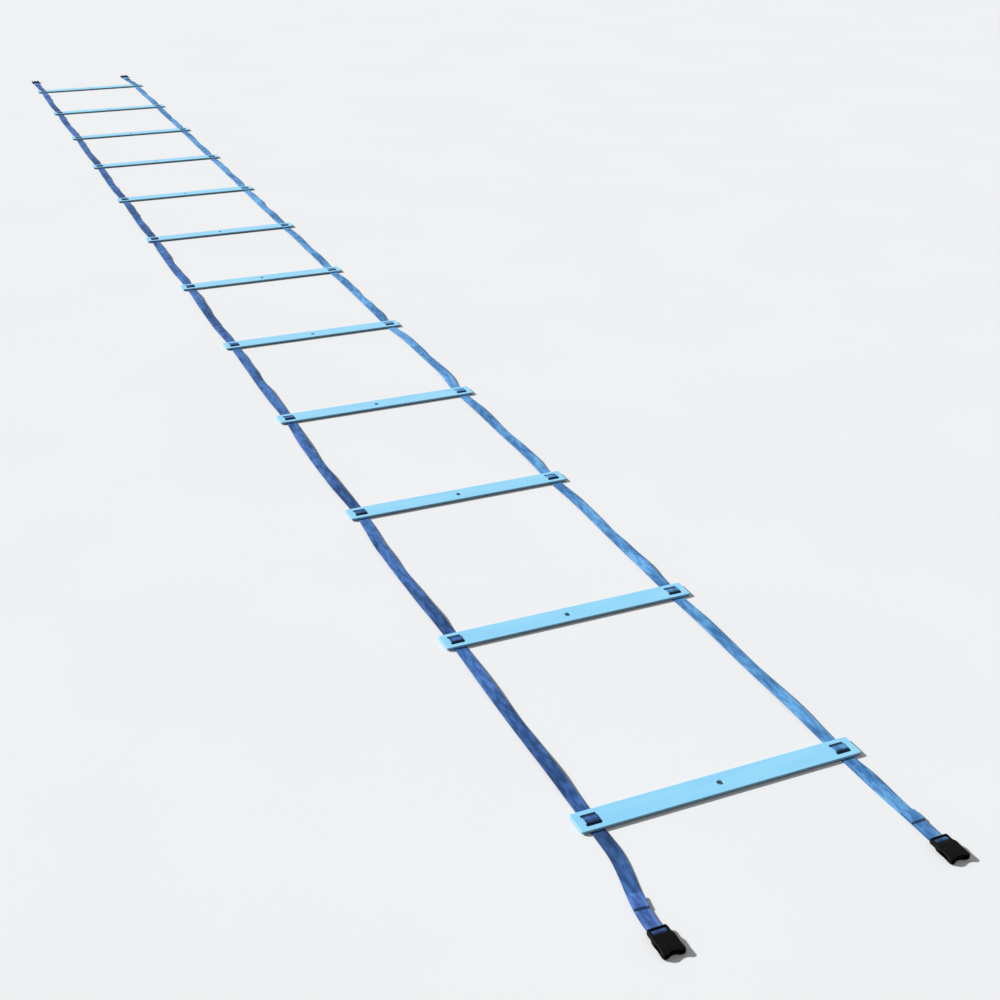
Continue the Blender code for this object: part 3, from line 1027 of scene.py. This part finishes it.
    def lay_down(self, across: float, y: float, z: float) -> Vector:
        """Where a point of the straight, flat strap comes to lie.

        Args:
            across: Its distance from the strap's middle, towards +X.
            y: Its place along the ladder.
            z: Its height.

        Returns:
            The point in the frame's coordinates.
        """
        probe = self.slope_probe
        slope = (self.wander(y + probe) - self.wander(y - probe)) / (2 * probe)
        turn = math.atan(slope)
        lift, tilt = self.lifted(y)
        lean = math.atan(tilt)
        level = across * math.cos(lean)
        x = self.ladder.strap_x[self.side] + self.wander(y) + level * math.cos(turn)
        return Vector((x, y - level * math.sin(turn), z + lift + across * math.sin(lean)))

    def sweep(self, name: str, path: Sequence[Point], material: Material) -> Object:
        """Webbing along a path, laid down as its strap lies.

        Args:
            name: The piece's name.
            path: The middle of the webbing, each point its place along the ladder and its height.
            material: The finish.

        Returns:
            The piece.
        """
        section = self.webbing.section()
        bm = bmesh.new()
        rings = []
        weave = []
        along = path[0][0]
        for number, (y, z) in enumerate(path):
            before = path[max(number - 1, 0)]
            after = path[min(number + 1, len(path) - 1)]
            run = Vector((after[0] - before[0], after[1] - before[1])).normalized()
            along += math.dist(path[number - 1], (y, z)) if number else 0.0
            ring = []
            for across, height in section:
                place = self.lay_down(across, y - height * run.y, z + height * run.x)
                ring.append(bm.verts.new(place))
                # The third number is the painted shade at this place.
                weave.append((across, along, self.painted_shade(y)))
            rings.append(ring)
        add_tube(bm, rings)
        bmesh.ops.recalc_face_normals(bm, faces=bm.faces)
        mesh = written(bm, name)
        carried(mesh, "weave", weave)
        smoothed(mesh, sharp=60)
        obj = new_object(name, mesh, material)
        return obj

    def weave_path(self, slat_y: float) -> list[Point]:
        """The webbing's way under a slat's edge, up through a slot, over the bridge and down again.

        Args:
            slat_y: The slat's middle.

        Returns:
            The path from near to far.
        """
        slat, bend = self.slat, self.webbing.bend
        bridge = (slat.bridge / 2, self.ladder.slat_top)
        land = (slat.bridge / 2 + slat.slot_width, self.ladder.slat_bottom)
        diagonal = math.hypot(slat.slot_width, slat.thickness)
        slope = math.degrees(math.atan2(slat.thickness, slat.slot_width) + math.asin(2 * bend / diagonal))
        far = level_run(0, bridge[0], self.bridge_pitch, bridge[1] + bend)[:-1]
        far += arc(bridge, bend, 90, 90 - slope, self.bend_steps)
        far += arc(land, bend, 270 - slope, 270, self.bend_steps)
        far += level_run(land[0], self.weave_reach, self.land_pitch, self.webbing.half)[1:]
        near = [(-y, z) for y, z in reversed(far[1:])]
        return [(slat_y + y, z) for y, z in near + far]

    def build_bay(self, number: int, material: Material) -> None:
        """Builds a bay's stretches: the one that passes the slat hangs on it, and those away from it lie
        where they are built.

        Args:
            number: The bay's and the slat's number, from 1.
            material: The webbing's finish.
        """
        middle = self.ladder.slats[number - 1].y
        bay, rung = f"bay_{number:02d}", f"rung_{number:02d}"
        node = f"{self.side.word}_strap_{number:02d}"
        name = f"{self.side.word}_webbing_{number:02d}"
        weave = self.sweep(f"{name}_weave", self.weave_path(middle), material)
        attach(weave, rung)
        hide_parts(node)
        for end in End:
            on_tail = number == self.ladder.last(end)
            reach = self.tail.split if on_tail else self.ladder.pitch / 2 - self.crease_reach
            start = middle + end.value * self.weave_reach
            stop = middle + end.value * reach
            path = level_run(*sorted((start, stop)), self.floor_pitch, self.webbing.half)
            piece = self.sweep(f"{name}_{end.word}", path, material)
            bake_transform(piece)
            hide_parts(node)

    def build_crease(self, number: int, material: Material) -> None:
        """Builds the short stretch at the fold line between two bays.

        Args:
            number: The nearer bay's number, from 1.
            material: The webbing's finish.
        """
        fold = self.ladder.slats[number - 1].y + self.ladder.pitch / 2
        start, end = fold - self.crease_reach, fold + self.crease_reach
        path = level_run(start, end, self.crease_pitch, self.webbing.half)
        piece = self.sweep(f"{self.side.word}_crease_{number:02d}", path, material)
        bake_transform(piece)


@dataclass
class SewnTail:
    """The end of a strap: round the buckle's bar, back over itself, hemmed and stitched down."""

    strap: Strap
    end: End
    bar_height: float
    stitches: StitchSizes = StitchSizes()
    tab_pitch: float = mm(1.2)
    hem_pitch: float = mm(2)
    tuck_gap: float = mm(0.6)
    eye_steps: int = 28
    bulb_steps: int = 8

    @property
    def layers(self) -> tuple[float, float, float]:
        """How high the tab's layers lie.

        Returns:
            The heights of the three layers' middles.
        """
        step = self.strap.webbing.thickness + self.strap.tail.layer_gap
        bottom = self.strap.webbing.half
        return bottom, bottom + step, bottom + 2 * step

    def tangent(self, point: Point, radius: float, above: bool) -> float:
        """Where a line from a point touches the circle about the buckle's bar.

        Args:
            point: The point, as distance from the slat and height.
            radius: The circle's radius.
            above: Whether the line touches the circle's upper side.

        Returns:
            The angle of the touching point, in degrees.
        """
        bar = (self.strap.tail.length, self.bar_height)
        towards = math.atan2(point[1] - bar[1], point[0] - bar[0]) % (2 * math.pi)
        swing = math.acos(radius / math.dist(point, bar))
        return math.degrees(towards - swing if above else towards + swing)

    def path(self) -> list[Point]:
        """The webbing's way, as distance from the slat's middle and height.

        Returns:
            The path from the tail's flat stretch to the end that is folded under.
        """
        tail = self.strap.tail
        bottom, middle, top = self.layers
        radius = tail.bar_radius + self.strap.webbing.bend
        low = self.tangent((tail.eye_start, bottom), radius, False) - 360
        high = self.tangent((tail.eye_start, middle), radius, True)
        turn = tail.hem_start + 2 * tail.hem_bulb
        bulb = (tail.hem_start + tail.hem_bulb, (middle + top) / 2)
        points = level_run(tail.split, tail.eye_start, self.tab_pitch, bottom)
        points += arc((tail.length, self.bar_height), radius, low, high, self.eye_steps)
        points += level_run(tail.eye_start, tail.hem_end + tail.hem_step, self.tab_pitch, middle)
        points += level_run(tail.hem_end, turn, self.hem_pitch, top)
        points += arc(bulb, tail.hem_bulb, 90, 270, self.bulb_steps)
        points += level_run(turn, tail.hem_end - self.tuck_gap, self.hem_pitch, middle)
        return points

    def build(self, material: Material, thread: Material) -> None:
        """Builds the sewn tab and its stitches.

        Args:
            material: The webbing's finish.
            thread: The thread's finish.
        """
        ladder, side = self.strap.ladder, self.strap.side
        number = ladder.last(self.end)
        middle = ladder.slats[number - 1].y
        body = f"bay_{number:02d}"
        path = [(middle + self.end.value * distance, z) for distance, z in self.path()]
        tab = self.strap.sweep(f"{side.word}_{self.end.word}_tab", path, material)
        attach(tab, body)
        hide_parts(f"{side.word}_strap_{number:02d}")
        threads = self.build_stitches(middle, thread)
        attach(threads, body)

    def seams(self) -> list[tuple[Point, Point, float]]:
        """The rows of stitches.

        Returns:
            For each row its ends, each as place across and distance from the slat, and its height.
        """
        tail, webbing = self.strap.tail, self.strap.webbing
        _, middle, top = self.layers
        edge = webbing.width / 2 - self.stitches.inset
        first = tail.hem_end + 2 * tail.hem_step
        last = tail.eye_start - tail.hem_step
        on_tab = middle + webbing.half
        rows = [((x, first), (x, last), on_tab) for x in (-edge, edge)]
        rows += [((-edge, y), (edge, y), on_tab) for y in (first, last)]
        rows += [((-edge, first), (edge, last), on_tab), ((-edge, last), (edge, first), on_tab)]
        hem_row = tail.hem_end - 2 * tail.hem_step
        rows.append(((-edge, hem_row), (edge, hem_row), top + webbing.half))
        return rows

    def build_stitches(self, middle: float, thread: Material) -> Object:
        """Builds every stitch of the tab as a small arched tube.

        Args:
            middle: The end slat's middle.
            thread: The thread's finish.

        Returns:
            The stitches in one object.
        """
        sizes = self.stitches
        bm = bmesh.new()
        for (x0, y0), (x1, y1), height in self.seams():
            span = math.hypot(x1 - x0, y1 - y0)
            count = max(1, round(span / (sizes.length + sizes.gap)))
            along = Vector(((x1 - x0) / span, (y1 - y0) / span))
            for number in range(count):
                start = Vector((x0, y0)) + along * (span * (number + 0.5) / count - sizes.length / 2)
                self.add_stitch(bm, start, along, height, middle)
        bmesh.ops.recalc_face_normals(bm, faces=bm.faces)
        mesh = written(bm, "stitches")
        smoothed(mesh, sharp=70)
        obj = new_object(f"{self.strap.side.word}_{self.end.word}_stitches", mesh, thread)
        return obj

    def add_stitch(self, bm: BMesh, start: Vector, along: Vector, height: float, middle: float) -> None:
        """Adds one stitch that arches over the webbing and dives in at both ends.

        Args:
            bm: The mesh that takes it.
            start: Its start, as place across and distance from the slat.
            along: Its direction.
            height: The webbing's surface.
            middle: The end slat's middle.
        """
        sizes = self.stitches
        rings = []
        for step in range(sizes.rings):
            share = step / (sizes.rings - 1)
            centre = start + along * sizes.length * share
            hump = math.sin(math.pi * share)
            radius = sizes.radius * (sizes.end_share + (1 - sizes.end_share) * hump)
            level = height - sizes.radius * sizes.sunk_share + sizes.rise * hump
            ring = []
            for turn in range(sizes.sides):
                angle = 2 * math.pi * turn / sizes.sides
                sideways = radius * math.cos(angle)
                x = centre.x - along.y * sideways
                y = middle + self.end.value * (centre.y + along.x * sideways)
                place = self.strap.lay_down(x, y, level + radius * math.sin(angle))
                ring.append(bm.verts.new(place))
            rings.append(ring)
        add_tube(bm, rings)


@dataclass(frozen=True)
class BuckleHalf:
    """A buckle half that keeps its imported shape, with its edges broken and its own finish."""

    edge: float = mm(0.22)
    edge_steps: int = 2
    weld: float = mm(0.002)

    def dress(self, node: Object, material: Material) -> None:
        """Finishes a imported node.

        Args:
            node: The node.
            material: Its finish.
        """
        node.data.materials.clear()
        node.data.materials.append(material)
        smoothed(node.data)
        weld = node.modifiers.new("weld", "WELD")
        weld.merge_threshold = self.weld
        bevel = node.modifiers.new("broken_edges", "BEVEL")
        bevel.width = self.edge
        bevel.segments = self.edge_steps
        bevel.limit_method = "ANGLE"
        bevel.angle_limit = math.radians(SHARP_ANGLE)
        weighted(node)


# The studio


@dataclass(frozen=True)
class Studio:
    """A plain pale floor under one soft lamp and an even sky."""

    floor_colour: Colour = (0.86, 0.87, 0.88)
    floor_pale: Colour = (0.874, 0.883, 0.892)
    floor_bounce: Colour = (0.12, 0.13, 0.13)
    floor_size: float = 60.0
    floor_drop: float = mm(0.3)
    lamp_heading: float = -52.0
    lamp_height: float = 32.0
    lamp_spread: float = 4.0
    lamp_strength: float = 4.3
    sky_colour: Colour = (0.86, 0.87, 0.88)
    sky_strength: float = 0.31

    def build(self) -> None:
        """Builds the floor, the lamp and the sky."""
        self.build_floor()
        self.build_lamp()
        self.build_sky()

    def build_floor(self) -> None:
        """Lays the floor just under the webbing."""
        bm = bmesh.new()
        bmesh.ops.create_grid(bm, x_segments=1, y_segments=1, size=self.floor_size / 2)
        nodes = FinishNodes("floor_paint")
        tone = nodes.cloud(2, detail=3)
        colour = nodes.blend(tone.above(0.3, 0.7), self.floor_colour, self.floor_pale)
        colour = nodes.blend(nodes.seen(), self.floor_bounce, colour)
        material = nodes.finish({"Base Color": colour, "Roughness": 0.85, "Specular IOR Level": 0.1})
        floor = new_object("floor", written(bm, "floor"), material)
        floor.location.z = -self.floor_drop

    def build_lamp(self) -> None:
        """Hangs the lamp at the far left."""
        data = bpy.data.lights.new("lamp", "SUN")
        data.energy = self.lamp_strength
        data.angle = math.radians(self.lamp_spread)
        lamp = new_object("lamp", data)
        lamp.rotation_mode = "QUATERNION"
        lamp.rotation_quaternion = direction(self.lamp_heading, self.lamp_height).to_track_quat("Z", "Y")

    def build_sky(self) -> None:
        """Lights the room evenly, and shows it as pale as the floor to the camera and in reflections."""
        world = bpy.data.worlds.new("sky")
        bpy.context.scene.world = world
        world.use_nodes = True
        nodes = NodeTree(world.node_tree)
        background = nodes.tree.nodes["Background"]
        nodes.feed(background.inputs["Color"], self.sky_colour)
        nodes.feed(background.inputs["Strength"], self.sky_strength + nodes.seen() * (1 - self.sky_strength))


@dataclass(frozen=True)
class PhotoCamera:
    """The photograph's camera, placed from the top of the nearest slat's middle."""

    heading: float = 23.92
    pitch: float = 26.96
    roll: float = 0.634
    focal_px: float = 1416.7
    offset: tuple[float, float, float] = (-0.958, -1.366, 1.285)

    def build(self, ladder: Ladder) -> None:
        """Makes the camera and looks through it.

        Args:
            ladder: The ladder's places.
        """
        data = bpy.data.cameras.new("photo_camera")
        data.sensor_width = SENSOR_WIDTH_MM
        data.lens = self.focal_px * SENSOR_WIDTH_MM / PHOTO_WIDTH_PX
        camera = new_object("photo_camera", data)
        first = ladder.slats[0]
        camera.location = Vector((first.x, first.y, ladder.slat_top)) + Vector(self.offset)
        heading, roll = math.radians(self.heading), math.radians(self.roll)
        forward = direction(self.heading, -self.pitch)
        right = Vector((math.cos(heading), -math.sin(heading), 0))
        up = right.cross(forward)
        tilted_right = right * math.cos(roll) + up * math.sin(roll)
        tilted_up = up * math.cos(roll) - right * math.sin(roll)
        turn = Matrix((tilted_right, tilted_up, -forward)).transposed()
        camera.rotation_mode = "QUATERNION"
        camera.rotation_quaternion = turn.to_quaternion()
        bpy.context.scene.camera = camera


STRAP_BOWS = {
    Side.LEFT: tuple(mm(bow) for bow in (2, 6.5, 7.5, 3.5, 5, 5, 4, 5, 4, 4, 4)),
    Side.RIGHT: tuple(mm(bow) for bow in (0, 1, 1.5, 8.5, 2, 1, -1, 1, 0, -1, -1)),
}
TAIL_TILT = {Side.LEFT: 0.04, Side.RIGHT: 0.14}
# Painted shade along each near tail, by strap.
TAIL_SHADE = {Side.LEFT: 0.62, Side.RIGHT: 0.0}
# Painted shadows at each hem's fold and step, by strap.
HEM_SHADE = {Side.LEFT: (0.2, 0.85), Side.RIGHT: (0.75, 0.85)}
TAIL_SWING = {
    Side.LEFT: {End.NEAR: mm(20), End.FAR: mm(4)},
    Side.RIGHT: {End.NEAR: mm(4), End.FAR: mm(-10)},
}
# The two straps are one webbing in two copies: the right strap's paler colours are painted light, the left
# strap's deeper colours painted shade.
STRAP_FINISHES = {
    Side.LEFT: WovenWebbing(
        "left_webbing", shadow=(0.008, 0.032, 0.11), yarn=(0.055, 0.185, 0.55), worn=(0.17, 0.39, 0.85)
    ),
    Side.RIGHT: WovenWebbing(
        "right_webbing", shadow=(0.025, 0.11, 0.29), yarn=(0.14, 0.44, 0.92), worn=(0.3, 0.68, 0.99)
    ),
}
# The tabs have colours of their own, paler than the straps'; the right tab's paler copy is painted light and
# the left tab's deeper copy painted shade, as with the straps.
TAB_FINISHES = {
    Side.LEFT: WovenWebbing(
        "left_tab_webbing_painted_shade", shadow=(0.018, 0.06, 0.23), yarn=(0.125, 0.285, 0.82), worn=(0.26, 0.46, 0.95)
    ),
    Side.RIGHT: WovenWebbing(
        "right_tab_webbing_painted_light", shadow=(0.025, 0.11, 0.29), yarn=(0.145, 0.43, 0.92), worn=(0.31, 0.66, 0.99)
    ),
}
BAR_HEIGHTS = {End.NEAR: mm(4.75), End.FAR: mm(4.1)}


def main() -> None:
    """Builds the ladder's pieces in order."""
    logging.basicConfig(level=logging.INFO, format="%(message)s")
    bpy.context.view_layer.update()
    nodes = frame["nodes"]
    ladder = Ladder.from_frame(nodes)
    PhotoCamera().build(ladder)
    Studio().build()
    bpy.context.scene.view_settings.view_transform = "Standard"

    slat_plastic = SlatPlastic().make()
    for number in range(1, ladder.count + 1):
        Slat().build(number, ladder, slat_plastic)

    thread = SewingThread().make()
    for side in Side:
        webbing, tab_webbing = STRAP_FINISHES[side].make(), TAB_FINISHES[side].make()
        strap = Strap(
            side,
            ladder,
            bows=STRAP_BOWS[side],
            swing=TAIL_SWING[side],
            tail_tilt=TAIL_TILT[side],
            tail_shade=TAIL_SHADE[side],
            hem_dirt=HEM_SHADE[side],
        )
        for number in range(1, ladder.count + 1):
            strap.build_bay(number, webbing)
        for number in range(1, ladder.count):
            strap.build_crease(number, webbing)
        for end in End:
            SewnTail(strap, end, BAR_HEIGHTS[end]).build(tab_webbing, thread)

    black = BucklePlastic().make()
    for name in sorted(nodes):
        if "socket" in name or "plug" in name:
            BuckleHalf().dress(nodes[name], black)
            log.info("dressed %s", name)


if __name__ == "__main__":
    main()
